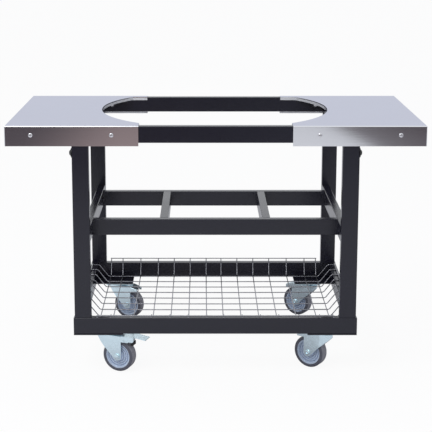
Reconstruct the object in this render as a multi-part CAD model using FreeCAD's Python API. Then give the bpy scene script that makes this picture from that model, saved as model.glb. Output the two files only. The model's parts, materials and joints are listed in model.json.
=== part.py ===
import FreeCAD, Part
import math
import os

# A kamado grill table. Two stainless shelf tops sit on a black frame of rectangular steel tube,
# with a round cut-out between them for the grill. An open middle shelf carries the grill, a welded
# wire basket hangs in the base frame, and four swivel casters carry the table.
# Millimetres. +X is to the right, +Y to the back, +Z up. The origin is on the floor, under the
# middle of the table.

# Steel tube of the frame
tube_height = 50.8
tube_width = 25.4
tube_wall = 1.6
tube_corner_radius = 2.4
cut_margin = 1.0

# Frame
table_width = 1270.0
frame_depth = 600.0
post_span = 868.5
post_length = 550.0
base_overhang = 3.2
mid_shelf_gap = 236.3
mid_rail_offset = 187.3
cross_bar_offset = 161.4

# Stainless shelf tops
sheet = 1.5
sheet_bend_radius = 3.0
shelf_flange_height = 62.0
shelf_gap = 465.0
cutout_diameter = 736.6
cutout_setback = 36.0
cutout_lip_height = 11.0
cutout_lip_gap = 0.5

# Plastic plugs in the ends of the long top rails
plug_head = 3.0
plug_body_length = 14.0
plug_side_gap = 0.5
plug_fit = 0.2

# Screws through the shelf flanges into the long top rails
shelf_screw_outer_inset = 78.5
shelf_screw_inner_inset = 81.0
shelf_screw_drop = 26.9
shelf_screw_head_diameter = 13.0
shelf_screw_head_height = 3.2
shelf_screw_diameter = 6.0
shelf_screw_length = 12.0

# Corner brackets inside the top frame
bracket_leg = 44.0
bracket_height = 30.0
bracket_thickness = 4.0
bracket_bolt_offset = 28.5
bracket_bolt_head_diameter = 13.0
bracket_bolt_head_height = 5.0
bracket_bolt_diameter = 6.0
bracket_bolt_length = 12.0

# Sleeves under the top frame that the posts slip over, and the bolts that hold them
sleeve_length = 60.0
sleeve_wall = 3.0
sleeve_fit = 0.3
post_bolt_drop = 32.0
post_bolt_diameter = 8.0
post_bolt_length = 18.0
post_bolt_flange_diameter = 30.0
post_bolt_flange_height = 2.5
post_bolt_head_diameter = 19.0
post_bolt_head_height = 9.0
hole_clearance = 0.2

# Corner plates under the base frame
corner_plate_length = 152.4
corner_plate_width = 101.6
corner_plate_thickness = 4.0

# Casters
caster_height = 130.5
caster_side_inset = 101.0
caster_end_inset = 55.5
caster_plate_length = 92.0
caster_plate_width = 85.0
caster_plate_thickness = 3.0
caster_plate_corner_radius = 6.0
caster_bolt_spacing_x = 74.0
caster_bolt_spacing_y = 60.0
caster_bolt_diameter = 8.0
caster_bolt_across_flats = 13.0
caster_bolt_head_height = 5.3
kingpin_diameter = 10.0
kingpin_head_diameter = 18.0
kingpin_head_height = 3.0
race_diameter = 54.0
race_neck_diameter = 46.0
race_bore = 20.0
race_band = 4.0
swivel_gap = 0.3
caster_trail = 36.0

# Pressed steel fork
fork_top_drop = 12.0
fork_sheet = 2.5
fork_inner_width = 38.0
fork_lead = 36.0
fork_front_depth = 10.0
fork_hood_reach = 74.0
fork_hood_drop = 9.0
fork_skirt = 10.0
axle_boss_radius = 13.5

# Wheel. Its diameter follows from the caster's height and the gap between the tyre and the crown.
tyre_crown_gap = 14.4
tyre_width = 32.0
tyre_thickness = 10.5
tyre_shoulder_width = 4.5
tyre_shoulder_drop = 2.5
tyre_edge = 2.0
tyre_bead = 1.0
rim_width = 28.0
rim_thickness = 7.0
rim_slope = 2.0
web_thickness = 14.0
wheel_hub_diameter = 28.0
hub_chamfer = 2.0
wheel_side_gap = 0.5
axle_diameter = 10.0
axle_across_flats = 16.0
axle_head_height = 5.0
running_fit = 0.05

# Brake pedal of the front-left caster
pedal_pivot_reach = 60.0
pedal_pivot_drop = 24.0
pedal_pin_diameter = 6.0
pedal_sheet = 2.0
pedal_side_gap = 0.5
pedal_lead = 8.0
pedal_cheek_reach = 94.0
pedal_foot_reach = 132.0
pedal_foot_width = 36.0
pedal_foot_drop = 5.0
pedal_top_gap = 1.5
pedal_cheek_height = 17.0
pedal_cheek_radius = 7.0
pedal_stem_width = 20.0
pedal_stem_thickness = 4.0
shoe_reach = 79.0
shoe_length = 8.0
shoe_width = 24.0
shoe_height = 12.0
shoe_tyre_gap = 6.2

# Trail direction of each caster at rest, in degrees from +X
caster_trail_angles = {
    "front_left": -21.0,
    "back_left": -22.0,
    "front_right": 146.0,
    "back_right": 145.0,
}
braked_casters = ("front_left",)

# Wire basket
wire_diameter = 3.2
wire_bend_radius = 8.0
wire_bend_facets = 2
basket_floor_clearance = 6.0
basket_seat_gap = 0.3
basket_side_slope = 36.5
basket_end_slope = 19.0
basket_side_rim_gap = 4.5
basket_end_rim_gap = 4.8
basket_back_rim_height = 13.5
basket_long_wire_pitch = 58.6
basket_back_wire_inset = 6.0
basket_outer_wire_gaps = (4.5, 41.0, 64.0, 62.5)
basket_cross_wire_pitch = 57.0
basket_rim_inset = 3.5
basket_rim_wire_inset = 5.0

# Heights above the floor
wheel_diameter = caster_height - fork_top_drop - fork_sheet - tyre_crown_gap
base_bottom = caster_height + corner_plate_thickness
base_top = base_bottom + tube_height
post_top = base_top + post_length
rail_top = post_top + tube_height
shelf_top = rail_top + sheet
mid_shelf_bottom = base_top + mid_shelf_gap
mid_shelf_top = mid_shelf_bottom + tube_height

# Half sizes and faces that many pieces share
half_depth = frame_depth / 2
half_width = table_width / 2
post_outer = post_span / 2
post_inner = post_outer - tube_height
side_rail_outer = post_inner + tube_width
rail_inner_y = half_depth - tube_width
rail_end = half_width - sheet_bend_radius - plug_side_gap - plug_head
base_outer_x = post_outer + base_overhang
base_outer_y = half_depth + base_overhang
base_inner_x = base_outer_x - tube_width
base_inner_y = base_outer_y - tube_width
shelf_screw_places = (shelf_gap / 2 + shelf_screw_inner_inset, half_width - shelf_screw_outer_inset)

UP = FreeCAD.Vector(0, 0, 1)
ORIGIN = FreeCAD.Vector(0, 0, 0)


def box(x0, x1, y0, y1, z0, z1):
    return Part.makeBox(x1 - x0, y1 - y0, z1 - z0, FreeCAD.Vector(x0, y0, z0))


def cylinder(radius, start, direction, length):
    return Part.makeCylinder(radius, length, FreeCAD.Vector(*start), FreeCAD.Vector(*direction))


def edges_along(solid, axis):
    """The straight edges of a box that run along one axis."""
    return [edge for edge in solid.Edges if abs(edge.tangentAt(edge.FirstParameter)[axis]) > 0.99]


def tube(axis, x0, x1, y0, y1, z0, z1):
    """Rectangular tube along an axis (0, 1 or 2 for X, Y or Z), open at its ends."""
    outside = box(x0, x1, y0, y1, z0, z1)
    outside = outside.makeFillet(tube_corner_radius, edges_along(outside, axis))
    inset = [tube_wall, tube_wall, tube_wall]
    inset[axis] = -tube_wall
    bore = box(
        x0 + inset[0], x1 - inset[0], y0 + inset[1], y1 - inset[1], z0 + inset[2], z1 - inset[2]
    )
    return outside.cut(bore)


def mirrored_x(shape):
    return shape.mirror(ORIGIN, FreeCAD.Vector(1, 0, 0))


def mirrored_y(shape):
    return shape.mirror(ORIGIN, FreeCAD.Vector(0, 1, 0))


def four_corners(shape):
    """The front-left piece and its copies at the other corners."""
    right = mirrored_x(shape)
    return [shape, right, mirrored_y(shape), mirrored_y(right)]


def revolved(points, centre, axis):
    """A closed outline turned once round an axis."""
    outline = Part.makePolygon([FreeCAD.Vector(*point) for point in points + points[:1]])
    return Part.Face(outline).revolve(FreeCAD.Vector(*centre), FreeCAD.Vector(*axis), 360)


def hexagon_prism(across_flats, start, direction, length):
    """A bolt head or a nut, with its flats square to Z or to X."""
    corner = across_flats / math.sqrt(3)
    axis = FreeCAD.Vector(*direction)
    across = UP if abs(axis.z) < 0.5 else FreeCAD.Vector(1, 0, 0)
    other = axis.cross(across)
    base = FreeCAD.Vector(*start)
    corners = []
    for i in range(7):
        turn = math.radians(30 + 60 * i)
        corners.append(base + across * (corner * math.cos(turn)) + other * (corner * math.sin(turn)))
    return Part.Face(Part.makePolygon(corners)).extrude(axis * length)


def top_frame():
    """The two long rails, with their screw and bolt holes, and the two short rails between them."""
    front = tube(0, -rail_end, rail_end, -half_depth, -rail_inner_y, post_top, rail_top)
    wall_cut = tube_wall * 2
    for side in (-1, 1):
        for place in shelf_screw_places:
            start = (side * place, -half_depth - tube_wall / 2, rail_top - shelf_screw_drop)
            radius = shelf_screw_diameter / 2 + hole_clearance
            front = front.cut(cylinder(radius, start, (0, 1, 0), wall_cut))
        start = (side * (post_inner - bracket_bolt_offset), -rail_inner_y - wall_cut, bracket_middle())
        radius = bracket_bolt_diameter / 2 + hole_clearance
        front = front.cut(cylinder(radius, start, (0, 1, 0), wall_cut * 2))
    left = tube(1, -side_rail_outer, -post_inner, -rail_inner_y, rail_inner_y, post_top, rail_top)
    for end in (-1, 1):
        start = (-post_inner - wall_cut, end * (rail_inner_y - bracket_bolt_offset), bracket_middle())
        left = left.cut(cylinder(radius, start, (1, 0, 0), wall_cut * 2))
    return {
        "top_front_rail": front,
        "top_back_rail": mirrored_y(front),
        "top_left_side_rail": left,
        "top_right_side_rail": mirrored_x(left),
    }


def bracket_middle():
    """Height of the corner brackets' bolts."""
    return post_top + tube_height / 2


def plug():
    """End plug of the front rail's left end."""
    head = box(-rail_end - plug_head, -rail_end, -half_depth, -rail_inner_y, post_top, rail_top)
    head = head.makeFillet(tube_corner_radius, edges_along(head, 0))
    inset = tube_wall + plug_fit
    body = box(
        -rail_end, -rail_end + plug_body_length,
        -half_depth + inset, -rail_inner_y - inset,
        post_top + inset, rail_top - inset,
    )
    return head.fuse(body)


def shelf():
    """Left shelf top: a folded sheet with three flanges and a lip round its share of the cut-out."""
    inner = shelf_gap / 2
    y = half_depth + sheet
    bottom = shelf_top - shelf_flange_height
    outside = box(-half_width, -inner, -y, y, bottom, shelf_top)
    folded = [
        edge for edge in outside.Edges
        if edge.CenterOfMass.z > bottom + sheet and edge.CenterOfMass.x < -inner - sheet
    ]
    outside = outside.makeFillet(sheet_bend_radius, folded)
    inside = box(-half_width + sheet, 0, -half_depth, half_depth, bottom - sheet, rail_top)
    folded = [
        edge for edge in inside.Edges
        if edge.CenterOfMass.z > bottom and edge.CenterOfMass.x < -sheet
    ]
    inside = inside.makeFillet(sheet_bend_radius - sheet, folded)
    tray = outside.cut(inside)
    tray = tray.cut(cutout(0, rail_top - sheet, shelf_top + sheet))
    lip = cutout(sheet, shelf_top - cutout_lip_height, shelf_top)
    lip = lip.cut(cutout(0, shelf_top - cutout_lip_height - sheet, shelf_top + sheet))
    lip = lip.common(box(-half_width, -inner, -y, y, bottom, shelf_top))
    tray = tray.fuse(lip).removeSplitter()
    for place in shelf_screw_places:
        for end in (-1, 1):
            start = (-place, end * (half_depth - sheet), rail_top - shelf_screw_drop)
            radius = shelf_screw_diameter / 2 + hole_clearance
            tray = tray.cut(cylinder(radius, start, (0, end, 0), sheet * 3))
    return tray


def cutout(margin, z0, z1):
    """The round cut-out as a solid, larger all round by the margin and flat along the back rail."""
    radius = cutout_diameter / 2 + margin
    flat = rail_inner_y - cutout_lip_gap - sheet + margin
    disc = cylinder(radius, (0, cutout_setback, z0), (0, 0, 1), z1 - z0)
    return disc.common(box(-2 * radius, 2 * radius, -2 * radius, flat, z0, z1))


def shelf_screws():
    """Domed screws through the front and back flanges, seated on the sheet."""
    head = shelf_screw_head_diameter / 2
    sphere = (head ** 2 + shelf_screw_head_height ** 2) / (2 * shelf_screw_head_height)
    screws = []
    for place in shelf_screw_places:
        seat = half_depth + sheet
        z = rail_top - shelf_screw_drop
        dome = Part.makeSphere(sphere, FreeCAD.Vector(-place, -seat + sphere - shelf_screw_head_height, z))
        dome = dome.common(box(-place - head, -place + head, -seat - sphere, -seat, z - head, z + head))
        shank = cylinder(shelf_screw_diameter / 2, (-place, -seat, z), (0, 1, 0), shelf_screw_length)
        screws.extend(four_corners(dome.fuse(shank)))
    return screws


def corner_bracket():
    """Front-left angle bracket, bolted to a long rail and a short rail."""
    z0 = bracket_middle() - bracket_height / 2
    z1 = z0 + bracket_height
    x = -post_inner
    y = -rail_inner_y
    legs = box(x, x + bracket_leg, y, y + bracket_thickness, z0, z1)
    legs = legs.fuse(box(x, x + bracket_thickness, y, y + bracket_leg, z0, z1)).removeSplitter()
    for start, direction in bracket_bolt_seats():
        radius = bracket_bolt_diameter / 2 + hole_clearance
        legs = legs.cut(cylinder(radius, start, direction, bracket_thickness * 2))
    return legs


def bracket_bolt_seats():
    """Where the two bolts of the front-left bracket sit on it, and which way they point."""
    z = bracket_middle()
    along = (-post_inner + bracket_bolt_offset, -rail_inner_y + bracket_thickness, z)
    across = (-post_inner + bracket_thickness, -rail_inner_y + bracket_bolt_offset, z)
    return ((along, (0, -1, 0)), (across, (-1, 0, 0)))


def bracket_bolts():
    """Round-headed bolts with the shank through the bracket and the rail's wall."""
    bolts = []
    for start, direction in bracket_bolt_seats():
        shank = cylinder(bracket_bolt_diameter / 2, start, direction, bracket_bolt_length)
        back = [-value for value in direction]
        head = cylinder(bracket_bolt_head_diameter / 2, start, back, bracket_bolt_head_height)
        bolts.extend(four_corners(shank.fuse(head)))
    return bolts


def post():
    """Front-left post, with the hole for its bolt in the outer wall."""
    y0 = -half_depth
    leg = tube(2, -post_outer, -post_inner, y0, y0 + tube_width, base_top, post_top)
    start = (-post_outer - tube_wall, y0 + tube_width / 2, post_top - post_bolt_drop)
    radius = post_bolt_diameter / 2 + hole_clearance
    return leg.cut(cylinder(radius, start, (1, 0, 0), tube_wall * 3))


def sleeve():
    """Short tube under the front rail's left end, inside the post."""
    inset = tube_wall + sleeve_fit
    x0 = -post_outer + inset
    x1 = -post_inner - inset
    y0 = -half_depth + inset
    y1 = -rail_inner_y - inset
    z0 = post_top - sleeve_length
    outside = box(x0, x1, y0, y1, z0, post_top)
    bore = box(
        x0 + sleeve_wall, x1 - sleeve_wall, y0 + sleeve_wall, y1 - sleeve_wall,
        z0 - sleeve_wall, post_top + sleeve_wall,
    )
    start = (x0 - sleeve_fit, -half_depth + tube_width / 2, post_top - post_bolt_drop)
    radius = post_bolt_diameter / 2 + hole_clearance
    return outside.cut(bore).cut(cylinder(radius, start, (1, 0, 0), sleeve_wall * 2))


def post_bolt():
    """Bolt with a wide flange on the outer side of the front-left post."""
    flange = post_bolt_flange_diameter / 2
    head = post_bolt_head_diameter / 2
    shank = post_bolt_diameter / 2
    y = -half_depth + tube_width / 2
    z = post_top - post_bolt_drop
    x = -post_outer
    top = x - post_bolt_flange_height - post_bolt_head_height
    bevel = post_bolt_head_height / 3
    outline = [
        (x + post_bolt_length, y, z),
        (x + post_bolt_length, y, z + shank),
        (x, y, z + shank),
        (x, y, z + flange),
        (x - post_bolt_flange_height, y, z + flange),
        (x - post_bolt_flange_height, y, z + head),
        (top + bevel, y, z + head),
        (top, y, z + head - bevel),
        (top, y, z),
    ]
    return revolved(outline, (x, y, z), (1, 0, 0))


def mid_shelf():
    """Side rails between the posts, two long rails between those, and two cross bars."""
    z0 = mid_shelf_bottom
    z1 = mid_shelf_top
    bar = tube_width / 2
    left = tube(1, -side_rail_outer, -post_inner, -rail_inner_y, rail_inner_y, z0, z1)
    front = tube(
        0, -post_inner, post_inner, -mid_rail_offset - bar, -mid_rail_offset + bar, z0, z1
    )
    cross = tube(
        1, -cross_bar_offset - bar, -cross_bar_offset + bar,
        -mid_rail_offset + bar, mid_rail_offset - bar, z0, z1,
    )
    return {
        "mid_left_side_rail": left,
        "mid_right_side_rail": mirrored_x(left),
        "mid_front_rail": front,
        "mid_back_rail": mirrored_y(front),
        "mid_left_cross_bar": cross,
        "mid_right_cross_bar": mirrored_x(cross),
    }


def base_frame():
    """Bottom frame, a little larger all round than the posts, with side rails between the long rails."""
    x = base_outer_x
    front = tube(0, -x, x, -base_outer_y, -base_inner_y, base_bottom, base_top)
    left = tube(1, -x, -base_inner_x, -base_inner_y, base_inner_y, base_bottom, base_top)
    return {
        "base_front_rail": front,
        "base_back_rail": mirrored_y(front),
        "base_left_side_rail": left,
        "base_right_side_rail": mirrored_x(left),
    }


def bolt_places():
    """The caster bolts about a caster's swivel axis."""
    return [
        (x * caster_bolt_spacing_x / 2, y * caster_bolt_spacing_y / 2)
        for x in (-1, 1) for y in (-1, 1)
    ]


def caster_axis(corner):
    """Where a caster's swivel axis stands."""
    side = 1 if corner.endswith("right") else -1
    end = 1 if corner.startswith("back") else -1
    return FreeCAD.Vector(side * (post_outer - caster_side_inset), end * (half_depth - caster_end_inset), 0)


def corner_plate(corner):
    """Steel plate under a corner of the base frame, with clearance holes for the caster's bolts."""
    axis = caster_axis(corner)
    side = math.copysign(1, axis.x)
    end = math.copysign(1, axis.y)
    xs = sorted((side * base_outer_x, side * (base_outer_x - corner_plate_length)))
    ys = sorted((end * base_outer_y, end * (base_outer_y - corner_plate_width)))
    plate = box(*xs, *ys, caster_height, base_bottom)
    radius = caster_bolt_diameter / 2 + hole_clearance
    for x, y in bolt_places():
        start = (axis.x + x, axis.y + y, caster_height - corner_plate_thickness)
        plate = plate.cut(cylinder(radius, start, (0, 0, 1), corner_plate_thickness * 3))
    return plate


def caster_plate():
    """Top plate of a caster, with its riveted kingpin, about the swivel axis."""
    x = caster_plate_length / 2
    y = caster_plate_width / 2
    z0 = caster_height - caster_plate_thickness
    plate = box(-x, x, -y, y, z0, caster_height)
    plate = plate.makeFillet(caster_plate_corner_radius, edges_along(plate, 2))
    radius = caster_bolt_diameter / 2 + hole_clearance
    for x, y in bolt_places():
        hole = cylinder(radius, (x, y, z0 - sheet), (0, 0, 1), caster_plate_thickness * 2)
        plate = plate.cut(hole)
    pin_bottom = fork_top() - fork_sheet - swivel_gap - kingpin_head_height
    pin = cylinder(kingpin_diameter / 2, (0, 0, pin_bottom), (0, 0, 1), z0 - pin_bottom)
    head = cylinder(kingpin_head_diameter / 2, (0, 0, pin_bottom), (0, 0, 1), kingpin_head_height)
    return plate.fuse(pin.fuse(head))


def caster_bolt():
    """Hexagon-headed bolt up through the caster plate and the corner plate, about its own axis."""
    z0 = caster_height - caster_plate_thickness
    length = caster_plate_thickness + corner_plate_thickness
    head = hexagon_prism(
        caster_bolt_across_flats, (0, 0, z0 - caster_bolt_head_height), (0, 0, 1), caster_bolt_head_height
    )
    return head.fuse(cylinder(caster_bolt_diameter / 2, (0, 0, z0), (0, 0, 1), length))


def ball_race():
    """Ring of the ball race, riveted under the caster plate."""
    top = caster_height - caster_plate_thickness
    bottom = fork_top() + swivel_gap
    outline = [
        (race_bore / 2, 0, bottom),
        (race_neck_diameter / 2, 0, bottom),
        (race_diameter / 2, 0, top - race_band),
        (race_diameter / 2, 0, top),
        (race_bore / 2, 0, top),
    ]
    return revolved(outline, (0, 0, 0), (0, 0, 1))


def fork_top():
    """Height of the fork's crown."""
    return caster_height - fork_top_drop


def fork_side():
    """Side outline of the fork about its swivel axis."""
    axle_u = caster_trail
    axle_z = wheel_diameter / 2
    top = fork_top()
    rear = axle_u + axle_boss_radius
    skirt_bottom = fork_top() - fork_hood_drop - fork_skirt
    # The slanted front edge leaves the front corner and meets the round end at a tangent.
    front = FreeCAD.Vector(-fork_lead, 0, fork_top() - fork_front_depth)
    axle = FreeCAD.Vector(axle_u, 0, axle_z)
    reach = axle - front
    slant = math.atan2(reach.z, reach.x)
    tangent = slant + math.asin(axle_boss_radius / reach.Length)
    contact = axle + FreeCAD.Vector(-math.sin(tangent), 0, math.cos(tangent)) * -axle_boss_radius
    middle = axle - FreeCAD.Vector(math.sin(-tangent / 2), 0, math.cos(-tangent / 2)) * axle_boss_radius
    heel = FreeCAD.Vector(rear, 0, axle_z)
    points = [
        heel,
        FreeCAD.Vector(rear, 0, skirt_bottom),
        FreeCAD.Vector(fork_hood_reach, 0, skirt_bottom),
        FreeCAD.Vector(fork_hood_reach, 0, top - fork_hood_drop),
        FreeCAD.Vector(rear, 0, top),
        FreeCAD.Vector(-fork_lead, 0, top),
        front,
        contact,
    ]
    edges = [Part.LineSegment(a, b).toShape() for a, b in zip(points, points[1:])]
    edges.append(Part.Arc(contact, middle, heel).toShape())
    return Part.Face(Part.Wire(edges))


def fork_plan(half, lead, z0, z1):
    """The fork seen from above: straight sides with a rounded front end."""
    reach = fork_hood_reach + fork_lead
    nose = cylinder(half, (-lead + half, 0, z0), (0, 0, 1), z1 - z0)
    return nose.fuse(box(-lead + half, reach, -half, half, z0, z1)).removeSplitter()


def fork(braked):
    """Pressed fork: a crown with a hood over the wheel and two tapered legs, open below."""
    half_inner = fork_inner_width / 2
    half_outer = half_inner + fork_sheet
    z1 = fork_top()
    blank = fork_side()
    blank.translate(FreeCAD.Vector(0, -half_outer, 0))
    body = blank.extrude(FreeCAD.Vector(0, 2 * half_outer, 0))
    body = body.common(fork_plan(half_outer, fork_lead, 0, z1))
    rear = caster_trail + axle_boss_radius
    underside = Part.makePolygon([
        FreeCAD.Vector(*point) for point in (
            (-fork_lead, 0, -fork_sheet),
            (fork_hood_reach + fork_sheet, 0, -fork_sheet),
            (fork_hood_reach + fork_sheet, 0, z1 - fork_sheet - fork_hood_drop),
            (fork_hood_reach, 0, z1 - fork_sheet - fork_hood_drop),
            (rear, 0, z1 - fork_sheet),
            (-fork_lead, 0, z1 - fork_sheet),
            (-fork_lead, 0, -fork_sheet),
        )
    ])
    hollow = Part.Face(underside)
    hollow.translate(FreeCAD.Vector(0, -half_inner, 0))
    hollow = hollow.extrude(FreeCAD.Vector(0, fork_inner_width, 0))
    hollow = hollow.common(fork_plan(half_inner, fork_lead - fork_sheet, -fork_sheet, z1))
    body = body.cut(hollow)
    bore = kingpin_diameter / 2 + running_fit
    body = body.cut(cylinder(bore, (0, 0, z1 - 2 * fork_sheet), (0, 0, 1), 3 * fork_sheet))
    bore = axle_diameter / 2 + running_fit
    start = (caster_trail, -half_outer - fork_sheet, wheel_diameter / 2)
    body = body.cut(cylinder(bore, start, (0, 1, 0), 2 * half_outer + 2 * fork_sheet))
    if braked:
        half_pin = half_outer + pedal_side_gap + pedal_sheet + pedal_side_gap
        start = (pedal_pivot_reach, -half_pin, caster_height - pedal_pivot_drop)
        body = body.fuse(cylinder(pedal_pin_diameter / 2, start, (0, 1, 0), 2 * half_pin))
    return body


def axle_bolt():
    """Axle with its hexagon head and nut, tight on the fork's legs."""
    half = fork_inner_width / 2 + fork_sheet
    axle = (caster_trail, -half, wheel_diameter / 2)
    end = (caster_trail, half, wheel_diameter / 2)
    shaft = cylinder(axle_diameter / 2, axle, (0, 1, 0), 2 * half)
    head = hexagon_prism(axle_across_flats, axle, (0, -1, 0), axle_head_height)
    nut = hexagon_prism(axle_across_flats, end, (0, 1, 0), axle_head_height)
    return shaft.fuse(head).fuse(nut)


def wheel_core():
    """Moulded wheel centre: hub, thin web and rim, turned about the axle."""
    bore = axle_diameter / 2 + running_fit
    hub = wheel_hub_diameter / 2
    rim = wheel_diameter / 2 - tyre_thickness
    hub_half = fork_inner_width / 2 - wheel_side_gap
    half = [
        (bore, hub_half),
        (hub - hub_chamfer, hub_half),
        (hub, web_thickness / 2),
        (rim - rim_thickness - rim_slope, web_thickness / 2),
        (rim - rim_thickness, rim_width / 2),
        (rim, rim_width / 2),
    ]
    return about_axle(half)


def tyre():
    """Rubber tyre round the wheel centre, with rounded shoulders."""
    outer = wheel_diameter / 2
    inner = outer - tyre_thickness
    half = [
        (inner, rim_width / 2),
        (inner + tyre_bead, tyre_width / 2),
        (outer - tyre_shoulder_drop - tyre_edge, tyre_width / 2),
        (outer - tyre_shoulder_drop / 2, tyre_width / 2 - tyre_edge),
        (outer, tyre_width / 2 - tyre_shoulder_width),
    ]
    return about_axle(half)


def about_axle(half):
    """Turn a half outline of (radius, distance from the middle plane), mirrored, about the axle."""
    whole = half + [(radius, -offset) for radius, offset in reversed(half)]
    outline = [(caster_trail, offset, wheel_diameter / 2 + radius) for radius, offset in whole]
    return revolved(outline, (caster_trail, 0, wheel_diameter / 2), (0, 1, 0))


def pedal():
    """Brake pedal: two cheeks on the pivot pin, a web over the hood, a foot plate and a stem."""
    pivot_z = caster_height - pedal_pivot_drop
    inner = fork_inner_width / 2 + fork_sheet + pedal_side_gap
    outer = inner + pedal_sheet
    top = fork_top() + pedal_top_gap
    u0 = pedal_pivot_reach - pedal_lead
    u1 = pedal_cheek_reach
    foot = pedal_foot_width / 2
    bottom = top - pedal_cheek_height
    channel = box(u0, u1, -outer, outer, bottom, top)
    corners = [edge for edge in edges_along(channel, 1) if edge.CenterOfMass.z < top - cut_margin]
    channel = channel.makeFillet(pedal_cheek_radius, corners)
    inside = box(
        u0 - cut_margin, u1 + cut_margin, -inner, inner, bottom - cut_margin, top - pedal_sheet
    )
    channel = channel.cut(inside)
    web_start = pedal_pivot_reach - pedal_pin_diameter
    channel = channel.cut(
        box(u0 - cut_margin, web_start, -inner, inner, bottom, top + cut_margin)
    )
    low = top - pedal_foot_drop
    outline = Part.makePolygon([
        FreeCAD.Vector(*point) for point in (
            (u1 - pedal_sheet, -foot, top - pedal_sheet),
            (u1 - pedal_sheet, -foot, top),
            (u1, -foot, top),
            (pedal_foot_reach, -foot, low),
            (pedal_foot_reach, -foot, low - pedal_sheet),
            (u1, -foot, top - pedal_sheet),
            (u1 - pedal_sheet, -foot, top - pedal_sheet),
        )
    ])
    plate = Part.Face(outline).extrude(FreeCAD.Vector(0, pedal_foot_width, 0))
    stem_u = shoe_reach + shoe_length / 2 - pedal_stem_thickness / 2
    shoe_top = shoe_bottom() + shoe_height
    stem = box(
        stem_u, stem_u + pedal_stem_thickness, -pedal_stem_width / 2, pedal_stem_width / 2,
        shoe_top, top - pedal_sheet,
    )
    body = channel.fuse(plate).fuse(stem).removeSplitter()
    bore = pedal_pin_diameter / 2 + running_fit
    start = (pedal_pivot_reach, -outer - cut_margin, pivot_z)
    return body.cut(cylinder(bore, start, (0, 1, 0), 2 * (outer + cut_margin)))


def brake_shoe():
    """Rubber block under the pedal's stem, which presses on the tyre."""
    z0 = shoe_bottom()
    half = shoe_width / 2
    return box(shoe_reach, shoe_reach + shoe_length, -half, half, z0, z0 + shoe_height)


def shoe_bottom():
    """Height of the shoe's underside, with its nearest edge at its gap from the tyre."""
    clear_radius = wheel_diameter / 2 + shoe_tyre_gap
    return wheel_diameter / 2 + math.sqrt(clear_radius ** 2 - (shoe_reach - caster_trail) ** 2)


def bent_path(corners):
    """Centre line of a bent wire, each bend as short chords of its arc."""
    points = [corners[0]]
    for before, corner, after in zip(corners, corners[1:], corners[2:]):
        arrive = (corner - before).normalize()
        leave = (after - corner).normalize()
        turn = arrive.getAngle(leave)
        start = corner - arrive * (wire_bend_radius * math.tan(turn / 2))
        to_centre = (leave - arrive * arrive.dot(leave)).normalize()
        centre = start + to_centre * wire_bend_radius
        for i in range(wire_bend_facets + 1):
            angle = turn * i / wire_bend_facets
            offset = arrive * math.sin(angle) - to_centre * math.cos(angle)
            points.append(centre + offset * wire_bend_radius)
    points.append(corners[-1])
    return points


def wire(corners):
    """Wire of eight flats along its bent centre line, so that crossing wires meet face to face."""
    path = bent_path(corners)
    along = (path[1] - path[0]).normalize()
    across = along.cross(UP)
    radius = wire_diameter / 2 / math.cos(math.pi / 8)
    section = []
    for i in range(9):
        angle = math.pi / 8 + i * math.pi / 4
        offset = across * math.cos(angle) + UP * math.sin(angle)
        section.append(path[0] + offset * radius)
    spine = Part.makePolygon(path)
    right_corners = 1
    return spine.makePipeShell([Part.makePolygon(section)], True, False, right_corners)


def cross_wire_places(floor_end):
    """Where the cross wires run on one half of the floor, from its end to the middle."""
    place = floor_end
    places = []
    for gap in basket_outer_wire_gaps:
        place -= gap
        places.append(place)
    while place - basket_cross_wire_pitch > basket_cross_wire_pitch / 4:
        place -= basket_cross_wire_pitch
        places.append(place)
    return places


def basket():
    """All the wires of the basket. Each runs over the floor and up two walls, and three walls hook
    over the frame. The back wall stands straight up past its rail to a rim wire.
    """
    seat = base_top + basket_seat_gap + wire_diameter / 2
    long_z = base_bottom + basket_floor_clearance + wire_diameter / 2
    cross_z = long_z + wire_diameter
    side_rim = base_inner_x - basket_side_rim_gap
    side_bend = side_rim - basket_side_slope
    side_end = base_outer_x - basket_rim_inset
    end_rim = base_inner_y - basket_end_rim_gap
    end_bend = end_rim - basket_end_slope
    end_end = base_outer_y - basket_rim_inset
    back_rim_z = base_top + basket_back_rim_height
    wires = []
    last = end_bend - basket_back_wire_inset
    spaces = int((end_bend + last) / basket_long_wire_pitch)
    for i in range(spaces + 1):
        y = last - i * basket_long_wire_pitch
        half = [(side_bend, long_z), (side_rim, seat), (side_end, seat)]
        profile = [(-x, z) for x, z in reversed(half)] + half
        wires.append(wire([FreeCAD.Vector(x, y, z) for x, z in profile]))
    places = cross_wire_places(side_bend)
    profile = [
        (-end_end, seat),
        (-end_rim, seat),
        (-end_bend, cross_z),
        (end_bend, cross_z),
        (end_rim, seat),
        (end_rim, back_rim_z + wire_diameter / 2),
    ]
    for place in places:
        for side in (-1, 1):
            wires.append(wire([FreeCAD.Vector(side * place, y, z) for y, z in profile]))
    rim_z = seat + wire_diameter
    reach = places[0] + wire_diameter
    front = basket_rim_wire_inset - end_end
    for y, z in ((front, rim_z), (end_rim + wire_diameter, back_rim_z)):
        wires.append(wire([FreeCAD.Vector(-reach, y, z), FreeCAD.Vector(reach, y, z)]))
    first = last - spaces * basket_long_wire_pitch
    x = side_end - basket_rim_wire_inset
    for side in (-1, 1):
        start = FreeCAD.Vector(side * x, first - wire_diameter, rim_z)
        end = FreeCAD.Vector(side * x, last + wire_diameter, rim_z)
        wires.append(wire([start, end]))
    return wires


def placed(shape, corner, turned):
    """A caster piece at its corner, turned to the caster's trail direction if it swivels."""
    copy = shape.copy()
    if turned:
        copy.rotate(ORIGIN, UP, caster_trail_angles[corner])
    copy.translate(caster_axis(corner))
    return copy


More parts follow.
